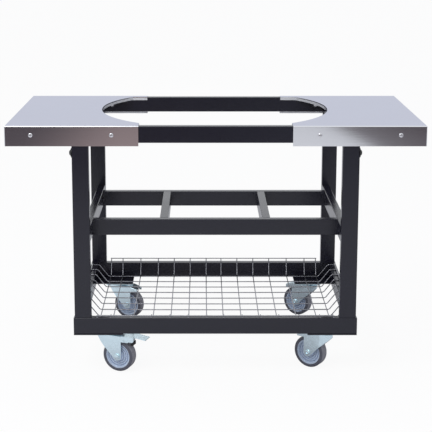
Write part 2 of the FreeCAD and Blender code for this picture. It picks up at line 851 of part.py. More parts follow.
def table():
    """Every node of the table, by name."""
    nodes = {}
    nodes.update(top_frame())
    nodes.update(mid_shelf())
    nodes.update(base_frame())
    left = shelf()
    nodes["left_shelf_top"] = left
    nodes["right_shelf_top"] = mirrored_x(left)
    names = ("front_left", "front_right", "back_left", "back_right")
    for name, leg in zip(names, four_corners(post())):
        nodes[name + "_post"] = leg
    nodes["top_rail_end_plugs"] = Part.makeCompound(four_corners(plug()))
    nodes["shelf_screws"] = Part.makeCompound(shelf_screws())
    nodes["corner_brackets"] = Part.makeCompound(four_corners(corner_bracket()))
    nodes["bracket_bolts"] = Part.makeCompound(bracket_bolts())
    nodes["post_sleeves"] = Part.makeCompound(four_corners(sleeve()))
    nodes["post_bolts"] = Part.makeCompound(four_corners(post_bolt()))
    nodes["wire_basket"] = Part.makeCompound(basket())
    bolts = []
    races = []
    for corner in names:
        braked = corner in braked_casters
        nodes[corner + "_corner_plate"] = corner_plate(corner)
        nodes[corner + "_caster_plate"] = placed(caster_plate(), corner, False)
        races.append(placed(ball_race(), corner, False))
        for x, y in bolt_places():
            bolt = placed(caster_bolt(), corner, False)
            bolt.translate(FreeCAD.Vector(x, y, 0))
            bolts.append(bolt)
        nodes[corner + "_caster_fork"] = placed(fork(braked), corner, True)
        nodes[corner + "_axle_bolt"] = placed(axle_bolt(), corner, True)
        nodes[corner + "_wheel_core"] = placed(wheel_core(), corner, True)
        nodes[corner + "_tyre"] = placed(tyre(), corner, True)
        if braked:
            nodes[corner + "_brake_pedal"] = placed(pedal(), corner, True)
            nodes[corner + "_brake_shoe"] = placed(brake_shoe(), corner, True)
    nodes["ball_races"] = Part.makeCompound(races)
    nodes["caster_bolts"] = Part.makeCompound(bolts)
    return nodes


def main():
    os.makedirs("parts", exist_ok=True)
    for name, shape in table().items():
        shape.exportStep("parts/" + name + ".step")


main()
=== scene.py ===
import json
import math

import bmesh
import bpy
from mathutils import Matrix, Vector


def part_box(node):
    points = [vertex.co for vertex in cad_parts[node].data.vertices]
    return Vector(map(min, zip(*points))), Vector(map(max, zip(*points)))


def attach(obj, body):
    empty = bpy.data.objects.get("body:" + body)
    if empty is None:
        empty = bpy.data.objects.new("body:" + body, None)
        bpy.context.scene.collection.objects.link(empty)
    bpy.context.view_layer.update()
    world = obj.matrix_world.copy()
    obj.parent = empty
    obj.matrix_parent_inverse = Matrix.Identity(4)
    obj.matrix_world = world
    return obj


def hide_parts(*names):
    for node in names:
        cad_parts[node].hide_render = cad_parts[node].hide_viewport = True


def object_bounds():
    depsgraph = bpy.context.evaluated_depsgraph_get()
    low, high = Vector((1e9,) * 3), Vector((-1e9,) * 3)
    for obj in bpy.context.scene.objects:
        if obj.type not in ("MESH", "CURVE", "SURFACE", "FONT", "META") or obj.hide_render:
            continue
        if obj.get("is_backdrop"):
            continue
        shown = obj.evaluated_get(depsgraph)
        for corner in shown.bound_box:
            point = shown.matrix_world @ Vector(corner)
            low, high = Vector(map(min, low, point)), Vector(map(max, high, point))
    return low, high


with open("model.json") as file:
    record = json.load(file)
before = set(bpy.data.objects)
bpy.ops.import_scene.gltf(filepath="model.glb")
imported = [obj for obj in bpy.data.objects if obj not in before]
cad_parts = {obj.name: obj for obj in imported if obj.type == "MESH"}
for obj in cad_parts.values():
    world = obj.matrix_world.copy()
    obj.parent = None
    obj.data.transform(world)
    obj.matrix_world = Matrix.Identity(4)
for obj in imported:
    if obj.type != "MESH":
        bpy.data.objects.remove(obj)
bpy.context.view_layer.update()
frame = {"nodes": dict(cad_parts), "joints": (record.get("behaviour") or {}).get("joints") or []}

nodes = frame["nodes"]
scene = bpy.context.scene
scene.view_settings.view_transform = "Standard"


# The camera stands in front of the table, a little left of its middle and above the shelf tops,
# and looks down. The picture's middle is below the lens axis, as in a view camera, which keeps the
# posts nearly upright.
view = bpy.data.objects.new("view", bpy.data.cameras.new("view"))
view.data.lens = 94.77
view.data.shift_x = 0.0321
view.data.shift_y = -0.22
view.data.clip_end = 100
view.location = (-0.0408, -3.6544, 1.3892)
look_down = math.radians(9.918)
view.rotation_euler = (math.pi / 2 - look_down, 0, 0)
scene.collection.objects.link(view)
scene.camera = view


# A pale paper floor in a white studio. It ends just in front of the camera, and from there the
# floor is dark, with a warm carpet near its middle and a pale strip on the right. The paper below
# the table has a painted shade. The camera sees only white, and the steel mirrors the rest.
class Socket:
    """A shader socket with a value. Sums on it add the nodes that work them out."""

    def __init__(self, tree, link):
        self.tree = tree
        self.link = link

    def node(self, kind, settings, **values):
        """A new node. Its inputs are given by name, or by number as i0, i1 and so on."""
        made = self.tree.nodes.new(kind)
        for name, value in settings.items():
            setattr(made, name, value)
        for name, value in values.items():
            place = int(name[1:]) if name[0] == "i" and name[1:].isdigit() else name.replace("_", " ")
            if isinstance(value, Socket):
                self.tree.links.new(value.link, made.inputs[place])
            else:
                made.inputs[place].default_value = value
        return made

    def sum(self, operation, first, second):
        made = self.node("ShaderNodeMath", {"operation": operation}, i0=first, i1=second)
        return Socket(self.tree, made.outputs[0])

    def __add__(self, other):
        return self.sum("ADD", self, other)

    def __radd__(self, other):
        return self.sum("ADD", other, self)

    def __sub__(self, other):
        return self.sum("SUBTRACT", self, other)

    def __rsub__(self, other):
        return self.sum("SUBTRACT", other, self)

    def __mul__(self, other):
        return self.sum("MULTIPLY", self, other)

    def __rmul__(self, other):
        return self.sum("MULTIPLY", other, self)

    def between(self, low, high):
        """0 up to low, 1 from high, and a smooth step from one to the other."""
        made = self.node(
            "ShaderNodeMapRange", {"interpolation_type": "SMOOTHSTEP"}, Value=self, i1=low, i2=high
        )
        return Socket(self.tree, made.outputs[0])

    def mix(self, first, second):
        """Colour first where this is 0 and second where it is 1."""
        first = (*first, 1) if isinstance(first, tuple) else first
        second = (*second, 1) if isinstance(second, tuple) else second
        made = self.node("ShaderNodeMix", {"data_type": "RGBA"}, i0=self, i6=first, i7=second)
        return Socket(self.tree, made.outputs[2])

    def output(self, kind, name):
        """An output of a new node that has no inputs to set."""
        return Socket(self.tree, self.node(kind, {}).outputs[name])

    def axes(self):
        """The X, Y and Z of a vector."""
        made = self.node("ShaderNodeSeparateXYZ", {}, Vector=self)
        return [Socket(self.tree, made.outputs[axis]) for axis in "XYZ"]


white = (1, 1, 1)
paper_white = (0.88, 0.88, 0.91)
dark_floor = (0.12, 0.10, 0.11)
warm_carpet = (0.36, 0.28, 0.275)
floor_size = 60.0
paper_end = (2.7, 3.3)
carpet_left = (-1.25, -0.5)
carpet_right = (-0.2, 0.3)
strip_slant = 0.2
strip_left = (0.3, 0.45)
strip_edge = (1.76, 1.87)
strip_fade = (1.80, 2.60)
strip_strength = 0.86
painted_shade_front = (-0.4, -0.3)
painted_shade_back = (-0.5, -0.3)
painted_shade_left = (-0.6, -0.3)
painted_shade_right = (0.5, 0.7)
painted_shade_depth = 0.5
paper_glow = 0.92
bpy.ops.object.select_all(action="DESELECT")
bpy.ops.mesh.primitive_grid_add(size=floor_size, x_subdivisions=4, y_subdivisions=4)
floor = bpy.context.object
floor.name = "floor"
floor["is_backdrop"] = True
floor_paint = bpy.data.materials.new("floor_paint")
floor_paint.use_nodes = True
tree = floor_paint.node_tree
tree.nodes.clear()
start = Socket(tree, None)
seen = start.output("ShaderNodeLightPath", "Is Camera Ray")
across, depth, _ = start.output("ShaderNodeTexCoord", "Object").axes()
toward = 0 - depth
past_paper = toward.between(*paper_end)
carpet = across.between(*carpet_left) * (1 - across.between(*carpet_right))
slanted = across - strip_slant * depth
strip = (1 - slanted.between(*strip_edge)) * strip_strength
strip = strip + (1 - slanted.between(*strip_fade)) * (1 - strip_strength)
strip = strip * across.between(*strip_left)
ground = carpet.mix(dark_floor, warm_carpet)
# A painted shade on the paper below the table, darker in its colour, which the camera doesn't see.
under = toward.between(*painted_shade_front) * depth.between(*painted_shade_back) * across.between(*painted_shade_left)
under = under * (1 - across.between(*painted_shade_right)) * painted_shade_depth
lit = 1 - (past_paper * (1 - strip) + under) * (1 - seen)
matt = start.node("ShaderNodeBsdfDiffuse", {}, Color=lit.mix(ground, paper_white))
glow = start.node("ShaderNodeEmission", {}, Color=(*white, 1), Strength=1.0)
both = start.node("ShaderNodeMixShader", {}, Fac=seen * paper_glow)
tree.links.new(matt.outputs[0], both.inputs[1])
tree.links.new(glow.outputs[0], both.inputs[2])
out = start.node("ShaderNodeOutputMaterial", {})
tree.links.new(both.outputs[0], out.inputs["Surface"])
floor.data.materials.append(floor_paint)

# The white room all round, darker low down on the camera's side, where the steel mirrors it.
room_white = (0.95, 0.97, 1.0)
near_wall = (0.1, 0.7)
near_wall_top = (0.05, 0.2)
near_wall_shade = 0.8
soft_strength = 0.72
room = bpy.data.worlds.new("room")
scene.world = room
room.use_nodes = True
tree = room.node_tree
tree.nodes.clear()
start = Socket(tree, None)
shown = start.output("ShaderNodeLightPath", "Is Camera Ray")
polished = start.output("ShaderNodeLightPath", "Is Glossy Ray")
_, forward, upward = start.output("ShaderNodeTexCoord", "Generated").axes()
near_side = (0 - forward).between(*near_wall) * (1 - upward.between(*near_wall_top))
mirrored = 1 - near_side * near_wall_shade
strength = shown + (1 - shown) * (polished * mirrored + (1 - polished) * soft_strength)
backdrop = start.node(
    "ShaderNodeBackground", {}, Color=shown.mix(room_white, white), Strength=strength
)
out = start.node("ShaderNodeOutputWorld", {})
tree.links.new(backdrop.outputs[0], out.inputs["Surface"])

key = bpy.data.objects.new("key_light", bpy.data.lights.new("key_light", "AREA"))
key.data.shape = "RECTANGLE"
key.data.size = 2.4
key.data.size_y = 1.8
key.data.energy = 60
key.location = (-1.6, -2.2, 3.2)
table_middle = Vector((0, 0, 0.5))
key.rotation_euler = (table_middle - key.location).to_track_quat("-Z", "Y").to_euler()
scene.collection.objects.link(key)


# Frame of rectangular steel tube, 1 by 2 inch, with its angle brackets, sleeves and corner plates,
# all coated with black powder. The coat is semi-gloss, with the fine dimples of a powder that
# flowed out in the oven.
def finish_of(name, metallic=0.0, **constants):
    """A new material, its shader and the object's own coordinates in it."""
    material = bpy.data.materials.new(name)
    material.use_nodes = True
    shader = material.node_tree.nodes["Principled BSDF"]
    shader.inputs["Metallic"].default_value = metallic
    for key_name, value in constants.items():
        shader.inputs[key_name.replace("_", " ")].default_value = value
    where = Socket(material.node_tree, None).output("ShaderNodeTexCoord", "Object")
    return material, shader, where


def noise(where, scale, detail, stretch=(1, 1, 1)):
    """Noise with that many waves to the metre, drawn out along an axis where stretch is smaller."""
    mapping = where.node("ShaderNodeMapping", {}, Vector=where, Scale=stretch)
    placed = Socket(where.tree, mapping.outputs[0])
    made = where.node("ShaderNodeTexNoise", {}, Vector=placed, Scale=scale, Detail=detail)
    return Socket(where.tree, made.outputs["Fac"])


def feed(shader, where, **values):
    """Link what varies over a surface to the shader's sockets."""
    for name, value in values.items():
        where.tree.links.new(value.link, shader.inputs[name.replace("_", " ")])


def bumped(shader, where, height, distance):
    """Raise the surface by up to the distance where height is 1."""
    made = where.node("ShaderNodeBump", {}, Distance=distance, Height=height)
    where.tree.links.new(made.outputs["Normal"], shader.inputs["Normal"])


def dress(material, *names):
    """Give solids of the frame a finish."""
    for name in names:
        for slot in nodes[name].material_slots:
            slot.material = material


coat_black = (0.0034, 0.0034, 0.0105)
coat_worn = (0.0052, 0.0052, 0.0145)
frame_coat, shader, where = finish_of("frame_powder_coat")
cloud = noise(where, scale=9, detail=3)
dimples = noise(where, scale=700, detail=1)
grain = noise(where, scale=2600, detail=1)
colour = cloud.mix(coat_black, coat_worn)
feed(shader, where, Base_Color=colour, Roughness=0.16 + cloud * 0.1 + grain * 0.06)
bumped(shader, where, dimples * 0.8 + grain * 0.2, distance=0.0001)
corners = ("front_left", "front_right", "back_left", "back_right")
coated_steel = [
    "top_front_rail", "top_back_rail", "top_left_side_rail", "top_right_side_rail",
    "mid_left_side_rail", "mid_right_side_rail", "mid_front_rail", "mid_back_rail",
    "mid_left_cross_bar", "mid_right_cross_bar",
    "base_front_rail", "base_back_rail", "base_left_side_rail", "base_right_side_rail",
    "corner_brackets", "post_sleeves",
]
coated_steel += [corner + "_post" for corner in corners]
coated_steel += [corner + "_corner_plate" for corner in corners]
dress(frame_coat, *coated_steel)


# Shelf tops of stainless sheet, folded down on three sides and round the cut-out, and screwed on.
# The sheet is brushed along the table's length, which leaves long fine lines. In the back half,
# all below the top face, such as the lip, is duller.
steel_dark = (0.76, 0.765, 0.79)
steel_light = (0.84, 0.845, 0.87)
steel_glance = (0.65, 0.66, 0.742, 1)
brushed_along = (6, 900, 900)
fine_brushed_along = (12, 2600, 2600)
past_middle = (0, 0.1)
top_underside = (0.784, 0.786)
dull_roughness = 0.4
shelf_stainless, shader, where = finish_of(
    "shelf_brushed_stainless", metallic=1.0, Specular_Tint=steel_glance
)
strokes = noise(where, scale=1.0, detail=2, stretch=brushed_along)
fine_strokes = noise(where, scale=1.0, detail=1, stretch=fine_brushed_along)
cloud = noise(where, scale=5, detail=3)
colour = (strokes * 0.5 + cloud * 0.5).mix(steel_dark, steel_light)
_, backward, upward = where.axes()
dull = backward.between(*past_middle) * (1 - upward.between(*top_underside))
polish = 0.05 + strokes * 0.03 + cloud * 0.02
feed(shader, where, Base_Color=colour, Roughness=polish + dull * dull_roughness)
bumped(shader, where, strokes * 0.6 + fine_strokes * 0.4, distance=0.00001)
dress(shelf_stainless, "left_shelf_top", "right_shelf_top")


# End plugs of black moulded plastic, pushed into the open ends of the two long top rails.
# Their faces have the fine grain of the mould.
def moulded(name, colour, roughness, grain):
    """Plastic or rubber with the pores of its mould, which are as deep as grain."""
    material, shader, where = finish_of(name)
    cloud = noise(where, scale=60, detail=2)
    pores = noise(where, scale=1800, detail=1)
    darker = tuple(value * 0.82 for value in colour)
    feed(shader, where, Base_Color=cloud.mix(darker, colour), Roughness=roughness + pores * 0.12)
    bumped(shader, where, pores, distance=grain)
    return material


black_plastic = moulded("black_plastic", (0.012, 0.012, 0.013), roughness=0.38, grain=0.00005)
dress(black_plastic, "top_rail_end_plugs")


# Domed screws of bright zinc-plated steel, with a hexagon socket, through the shelf tops' flanges
# into the long rails. One is modelled on its axis and copied to the eight places.
merge_distance = 0.00001


def loose_parts(node):
    """The lowest and highest corners of each separate solid of a node."""
    solid = bmesh.new()
    solid.from_mesh(nodes[node].data)
    bmesh.ops.remove_doubles(solid, verts=solid.verts, dist=merge_distance)
    unseen = set(solid.verts)
    found = []
    while unseen:
        group = [unseen.pop()]
        for vertex in group:
            for edge in vertex.link_edges:
                other = edge.other_vert(vertex)
                if other in unseen:
                    unseen.remove(other)
                    group.append(other)
        low = Vector([min(vertex.co[i] for vertex in group) for i in range(3)])
        high = Vector([max(vertex.co[i] for vertex in group) for i in range(3)])
        found.append((low, high))
    solid.free()
    return sorted(found, key=lambda part: tuple(part[0]))


def zinc(name, tint):
    """Bright steel under a thin bluish film of zinc, slightly cloudy and slightly uneven."""
    material, shader, where = finish_of(name, metallic=1.0)
    cloud = noise(where, scale=45, detail=3)
    film = noise(where, scale=170, detail=2)
    waves = noise(where, scale=28, detail=1)
    darker = tuple(value * 0.78 for value in tint)
    colour = (cloud * 0.6 + film * 0.4).mix(darker, tint)
    feed(shader, where, Base_Color=colour, Roughness=0.14 + film * 0.14 + cloud * 0.08)
    bumped(shader, where, waves * 0.9 + film * 0.1, distance=0.0009)
    return material


def pick(kind, test):
    """In edit mode, select only the faces or edges that pass the test."""
    bpy.ops.mesh.select_mode(type="FACE" if kind == "faces" else "EDGE")
    bpy.ops.mesh.select_all(action="DESELECT")
    mesh = bmesh.from_edit_mesh(bpy.context.object.data)
    for item in getattr(mesh, kind):
        item.select_set(test(item))
    bmesh.update_edit_mesh(bpy.context.object.data)


def begin_disc(radius, height, sides, foot=0.0):
    """A disc on the Z axis that stands on the height foot, open for shaping."""
    bpy.ops.object.select_all(action="DESELECT")
    bpy.ops.mesh.primitive_cylinder_add(
        vertices=sides, radius=radius, depth=height, location=(0, 0, foot + height / 2)
    )
    bpy.ops.object.transform_apply(location=True, rotation=True, scale=True)
    bpy.ops.object.mode_set(mode="EDIT")


def round_top_rim(height, offset, segments):
    """Round the rim of a disc that has its top at that height."""
    pick("edges", lambda edge: all(abs(end.co.z - height) < merge_distance for end in edge.verts))
    bpy.ops.mesh.bevel(offset=offset, segments=segments, affect="EDGES")


def add_shank(head_radius, shank_radius, length):
    """Inset the underside of a head and draw the shank down from it."""
    pick("faces", lambda face: face.normal.z < -0.9)
    bpy.ops.mesh.inset(thickness=head_radius - shank_radius)
    bpy.ops.mesh.extrude_region_move(TRANSFORM_OT_translate={"value": (0, 0, -length)})


def finish_piece(angle):
    """Close the shaping: faces outwards, and smooth where they meet at less than the angle."""
    bpy.ops.mesh.select_all(action="SELECT")
    bpy.ops.mesh.normals_make_consistent(inside=False)
    bpy.ops.object.mode_set(mode="OBJECT")
    bpy.ops.object.shade_smooth_by_angle(angle=math.radians(angle))
    return bpy.context.object


def cut_socket(piece, across_flats, top, socket_depth):
    """Cut a hexagon socket into the top of a head."""
    bpy.ops.mesh.primitive_cylinder_add(
        vertices=6, radius=across_flats / math.sqrt(3), depth=2 * socket_depth, location=(0, 0, top)
    )
    cutter = bpy.context.object
    bpy.context.view_layer.objects.active = piece
    cut = piece.modifiers.new("socket", "BOOLEAN")
    cut.object = cutter
    bpy.ops.object.modifier_apply(modifier=cut.name)
    bpy.data.objects.remove(cutter)


def paint(piece, *materials):
    """Give a new piece its finish, or its finishes."""
    piece.data.materials.clear()
    for material in materials:
        piece.data.materials.append(material)


def stand_for(piece, node, body):
    """Show a piece in place of a solid of the frame."""
    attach(piece, body)
    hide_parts(node)


def fasten(pattern, node, material, places):
    """Copy a fastener from its own axis to its places, join the copies and delete the pattern."""
    bpy.ops.object.select_all(action="DESELECT")
    for seat, heading in places:
        copy = bpy.data.objects.new(node + "_piece", pattern.data.copy())
        turn = Vector(heading).to_track_quat("Z", "Y").to_matrix().to_4x4()
        copy.data.transform(Matrix.Translation(seat) @ turn)
        scene.collection.objects.link(copy)
        copy.select_set(True)
        bpy.context.view_layer.objects.active = copy
    bpy.ops.object.join()
    piece = bpy.context.object
    piece.name = node + "_piece"
    paint(piece, material)
    stand_for(piece, node, "table")
    bpy.data.objects.remove(pattern)


screw_zinc = zinc("screw_zinc", (0.80, 0.80, 0.83))
screw_head_radius = 0.0065
screw_head_height = 0.0032
shank_radius = 0.003
shank_length = 0.012
screw_places = []
for low, high in loose_parts("shelf_screws"):
    middle = (low + high) / 2
    side = math.copysign(1, middle.y)
    seat = max(abs(low.y), abs(high.y)) - screw_head_height
    screw_places.append(((middle.x, side * seat, middle.z), (0, side, 0)))
begin_disc(screw_head_radius, screw_head_height, sides=32)
round_top_rim(screw_head_height, offset=0.0028, segments=6)
add_shank(screw_head_radius, shank_radius, shank_length)
screw = finish_piece(angle=40)
cut_socket(screw, across_flats=0.0032, top=screw_head_height, socket_depth=0.0016)
fasten(screw, "shelf_screws", screw_zinc, screw_places)


# Round-headed bolts of the same bright steel, from inside the top frame through its angle
# brackets: one into the long rail and one into the short rail at each corner.
bolt_head_radius = 0.0065
bolt_head_height = 0.005
bracket_bolt_places = []
for low, high in loose_parts("bracket_bolts"):
    middle = (low + high) / 2
    length = high - low
    if length.y > length.x:
        side = -math.copysign(1, middle.y)
        seat = min(abs(low.y), abs(high.y)) + bolt_head_height
        bracket_bolt_places.append(((middle.x, -side * seat, middle.z), (0, side, 0)))
    else:
        side = -math.copysign(1, middle.x)
        seat = min(abs(low.x), abs(high.x)) + bolt_head_height
        bracket_bolt_places.append(((-side * seat, middle.y, middle.z), (side, 0, 0)))
begin_disc(bolt_head_radius, bolt_head_height, sides=32)
round_top_rim(bolt_head_height, offset=0.003, segments=6)
add_shank(bolt_head_radius, shank_radius, shank_length)
bolt = finish_piece(angle=40)
cut_socket(bolt, across_flats=0.004, top=bolt_head_height, socket_depth=0.0022)
fasten(bolt, "bracket_bolts", screw_zinc, bracket_bolt_places)


# Bolts with cone-shaped heads of black plastic and wide flanges on the outer sides of the posts,
# which hold the posts on the sleeves of the top frame.
flange_radius = 0.015
flange_height = 0.0025
flange_sides = 48
flange_rounding = 0.001
knob_radius = 0.0105
knob_height = 0.0055
knob_root = 0.0008
knob_taper = 0.5
post_bolt_head = 0.0115
post_bolt_places = []
for low, high in loose_parts("post_bolts"):
    middle = (low + high) / 2
    side = math.copysign(1, middle.x)
    seat = max(abs(low.x), abs(high.x)) - post_bolt_head
    post_bolt_places.append(((side * seat, middle.y, middle.z), (side, 0, 0)))
begin_disc(flange_radius, flange_height, flange_sides)
round_top_rim(flange_height, flange_rounding, segments=3)
pick("faces", lambda face: face.normal.z > 0.9 and len(face.verts) == flange_sides)
bpy.ops.mesh.inset(thickness=flange_radius - flange_rounding - knob_radius - knob_root)
bpy.ops.mesh.inset(thickness=knob_root, depth=knob_root)
bpy.ops.mesh.extrude_region_move(
    TRANSFORM_OT_translate={"value": (0, 0, knob_height - knob_root)}
)
bpy.ops.transform.resize(value=(knob_taper, knob_taper, 1))
round_top_rim(flange_height + knob_height, offset=0.0018, segments=5)
add_shank(flange_radius, shank_radius=0.004, length=0.018)
post_bolt = finish_piece(angle=40)
fasten(post_bolt, "post_bolts", black_plastic, post_bolt_places)


# Caster plates and ball races of zinc-plated pressed steel. Four hexagon bolts with washers hold
# each plate under its corner plate, and the race's two cups are rolled over each other.
def copied(node):
    """A copy of a solid, its triangles merged into whole faces, open for shaping."""
    bpy.ops.object.select_all(action="DESELECT")
    piece = bpy.data.objects.new(node + "_piece", nodes[node].data.copy())
    scene.collection.objects.link(piece)
    piece.select_set(True)
    bpy.context.view_layer.objects.active = piece
    bpy.ops.object.mode_set(mode="EDIT")
    bpy.ops.mesh.select_all(action="SELECT")
    bpy.ops.mesh.remove_doubles(threshold=merge_distance)
    bpy.ops.mesh.dissolve_limited(angle_limit=math.radians(1))
    bpy.ops.mesh.normals_make_consistent(inside=False)
    return piece


def break_edges(piece, width, segments=2):
    """Round every sharp edge of a piece a little, as shearing and plating leave it."""
    bpy.ops.object.mode_set(mode="OBJECT")
    broken = piece.modifiers.new("broken_edges", "BEVEL")
    broken.width = width
    broken.segments = segments
    broken.limit_method = "ANGLE"
    broken.angle_limit = math.radians(40)
    bpy.ops.object.modifier_apply(modifier=broken.name)
    bpy.ops.object.shade_smooth_by_angle(angle=math.radians(35))
    flat_faces = piece.modifiers.new("flat_faces", "WEIGHTED_NORMAL")
    flat_faces.keep_sharp = True
    bpy.ops.object.modifier_apply(modifier=flat_faces.name)


def hexagon(across_flats, height, washer_radius, washer_height):
    """A hexagon head on its washer, on the Z axis, with its corners turned off."""
    begin_disc(across_flats / math.sqrt(3), height - washer_height, sides=6, foot=washer_height)
    round_top_rim(height, offset=0.0007, segments=2)
    bpy.ops.mesh.primitive_cylinder_add(
        vertices=32, radius=washer_radius, depth=washer_height, location=(0, 0, washer_height / 2)
    )


zinc_plate = zinc("caster_zinc", (0.77, 0.93, 1.0))
for corner in corners:
    node = corner + "_caster_plate"
    plate = copied(node)
    break_edges(plate, width=0.0006)
    paint(plate, zinc_plate)
    stand_for(plate, node, "table")

caster_bolt_head = 0.0053
caster_bolt_radius = 0.004
caster_bolt_length = 0.007
caster_bolt_places = []
for low, high in loose_parts("caster_bolts"):
    middle = (low + high) / 2
    caster_bolt_places.append(((middle.x, middle.y, low.z + caster_bolt_head), (0, 0, -1)))
hexagon(across_flats=0.013, height=caster_bolt_head, washer_radius=0.0082, washer_height=0.0011)
bpy.ops.mesh.primitive_cylinder_add(
    vertices=24, radius=caster_bolt_radius, depth=caster_bolt_length,
    location=(0, 0, -caster_bolt_length / 2),
)
caster_bolt = finish_piece(angle=30)
fasten(caster_bolt, "caster_bolts", zinc_plate, caster_bolt_places)

races = loose_parts("ball_races")
race_height = races[0][1].z - races[0][0].z
race_bore = 0.010
race_profile = [
    (race_bore, 0.0), (0.0222, 0.0), (0.0230, 0.0006), (0.0232, 0.0028), (0.0222, 0.0034),
    (0.0222, 0.0040), (0.0256, 0.0044), (0.0266, 0.0050), (0.0270, 0.0060), (0.0270, 0.0078),
    (0.0264, race_height), (race_bore, race_height),
]
bpy.ops.object.select_all(action="DESELECT")
outline = bpy.data.meshes.new("ball_race")
rim = [(radius, 0, height) for radius, height in race_profile]
outline.from_pydata(rim, [(i, (i + 1) % len(rim)) for i in range(len(rim))], [])
race = bpy.data.objects.new("ball_race", outline)
scene.collection.objects.link(race)
race.select_set(True)
bpy.context.view_layer.objects.active = race
bpy.ops.object.mode_set(mode="EDIT")
bpy.ops.mesh.select_all(action="SELECT")
bpy.ops.mesh.spin(steps=64, angle=2 * math.pi, center=(0, 0, 0), axis=(0, 0, 1))
bpy.ops.mesh.select_all(action="SELECT")
bpy.ops.mesh.remove_doubles(threshold=merge_distance)
race = finish_piece(angle=30)
race_places = []
for low, high in races:
    middle = (low + high) / 2
    race_places.append(((middle.x, middle.y, low.z), (0, 0, 1)))
fasten(race, "ball_races", zinc_plate, race_places)


# Forks pressed from one blank of steel sheet and zinc plated: the crown is bent down into two legs
# and a hood, so its outer edges are round bends, and the legs' front ends turn towards each other.
# The front-left fork also has the pedal's pin through it.
joints = {joint["name"]: joint for joint in frame["joints"]}


def caster_place(corner):
    """From a caster's own frame, with its trail along X, to its corner."""
    swivel = Vector(joints[corner + "_swivel"]["pos_m"])
    axle = Vector(joints[corner + "_wheel_spin"]["pos_m"])
    turn = math.atan2(axle.y - swivel.y, axle.x - swivel.x)
    return Matrix.Translation((swivel.x, swivel.y, 0)) @ Matrix.Rotation(turn, 4, "Z")


fork_top = joints["front_left_swivel"]["pos_m"][2]
hood_drop = 0.0095
hood_end = 0.0735
crown_bend_radius = 0.0024
nose_start = -0.003
nose_bend = 0.005
nose_cuts = 5
nose_narrowing = 20
nose_stretch = 0.15
sheared_edge = 0.0004
pin_radius = 0.003
pin_length = 0.049


def at_crown_bend(edge):
    """Whether an edge is one of those where the crown or the hood turns down into the sides."""
    flat = [face.normal.z for face in edge.link_faces]
    middle = (edge.verts[0].co + edge.verts[1].co) / 2
    if len(flat) != 2 or middle.z < fork_top - hood_drop:
        return False
    return max(flat) > 0.9 and abs(min(flat)) < 0.1 and middle.x < hood_end


def to_caster(pattern, corner, part, body):
    """Copy a piece from the caster's own frame to one of the four casters."""
    piece = bpy.data.objects.new(corner + "_" + part + "_piece", pattern.data.copy())
    scene.collection.objects.link(piece)
    piece.data.transform(caster_place(corner))
    stand_for(piece, corner + "_" + part, corner + "_" + body)


fork = copied("back_left_caster_fork")
bpy.ops.object.mode_set(mode="OBJECT")
fork.data.transform(caster_place("back_left").inverted())
bpy.ops.object.mode_set(mode="EDIT")
for cut in range(nose_cuts):
    place = nose_start - cut * nose_bend / (nose_cuts - 1)
    bpy.ops.mesh.select_all(action="SELECT")
    bpy.ops.mesh.bisect(plane_co=(place, 0, 0), plane_no=(1, 0, 0))
mesh = bmesh.from_edit_mesh(fork.data)
for vertex in mesh.verts:
    ahead = max(0, nose_start - vertex.co.x)
    past = max(0, ahead - nose_bend)
    turned = past + (ahead - past) ** 2 / (2 * nose_bend)
    vertex.co.y *= 1 - turned * nose_narrowing
    vertex.co.x -= ahead * nose_stretch
bmesh.update_edit_mesh(fork.data)
pick("edges", at_crown_bend)
bpy.ops.mesh.bevel(offset=crown_bend_radius, segments=5, affect="EDGES")
break_edges(fork, sheared_edge)

begin_disc(pin_radius, pin_length, sides=24, foot=-pin_length / 2)
round_top_rim(pin_length / 2, offset=0.0006, segments=2)
pin = finish_piece(angle=30)
pedal_pin = Vector(joints["front_left_brake_press"]["pos_m"])
pin_place = caster_place("front_left").inverted() @ pedal_pin
pin.data.transform(Matrix.Translation(pin_place) @ Matrix.Rotation(math.pi / 2, 4, "X"))
braked_fork = bpy.data.objects.new("braked_fork", fork.data.copy())
scene.collection.objects.link(braked_fork)
braked_fork.select_set(True)
bpy.context.view_layer.objects.active = braked_fork
bpy.ops.object.join()
paint(fork, zinc_plate)
paint(braked_fork, zinc_plate)
for corner in corners:
    pattern = braked_fork if corner == "front_left" else fork
    to_caster(pattern, corner, "caster_fork", "fork")
bpy.data.objects.remove(fork)
bpy.data.objects.remove(braked_fork)


# Axle bolts of zinc-plated steel through the legs and the wheel's hub: a round head with a hexagon
# socket at one end, and at the other a nut on its washer, with the bolt's end standing out of it.
swivel = Vector(joints["front_left_swivel"]["pos_m"])
axle = Vector(joints["front_left_wheel_spin"]["pos_m"])
trail = (axle.xy - swivel.xy).length
wheel_radius = axle.z
axle_radius = 0.005
axle_half = 0.0215
axle_head_radius = 0.0088
axle_head_height = 0.005
axle_end = 0.0008
hexagon(across_flats=0.016, height=axle_head_height, washer_radius=0.0098, washer_height=0.0012)
nut = finish_piece(angle=30)
nut.data.transform(Matrix.Translation((0, 0, axle_half)))
begin_disc(axle_head_radius, axle_head_height, sides=32)
round_top_rim(axle_head_height, offset=0.0026, segments=5)
head = finish_piece(angle=30)
cut_socket(head, across_flats=0.006, top=axle_head_height, socket_depth=0.003)
head.data.transform(Matrix.Translation((0, 0, -axle_half)) @ Matrix.Rotation(math.pi, 4, "X"))
begin_disc(axle_radius, 2 * axle_half + axle_head_height + axle_end, sides=32, foot=-axle_half)
round_top_rim(axle_half + axle_head_height + axle_end, offset=0.0007, segments=2)
axle_bolt = finish_piece(angle=30)
nut.select_set(True)
head.select_set(True)
bpy.ops.object.join()
lie_down = Matrix.Rotation(math.pi / 2, 4, "X")
axle_bolt.data.transform(Matrix.Translation((trail, 0, wheel_radius)) @ lie_down)
paint(axle_bolt, zinc_plate)
for corner in corners:
    to_caster(axle_bolt, corner, "axle_bolt", "fork")
bpy.data.objects.remove(axle_bolt)


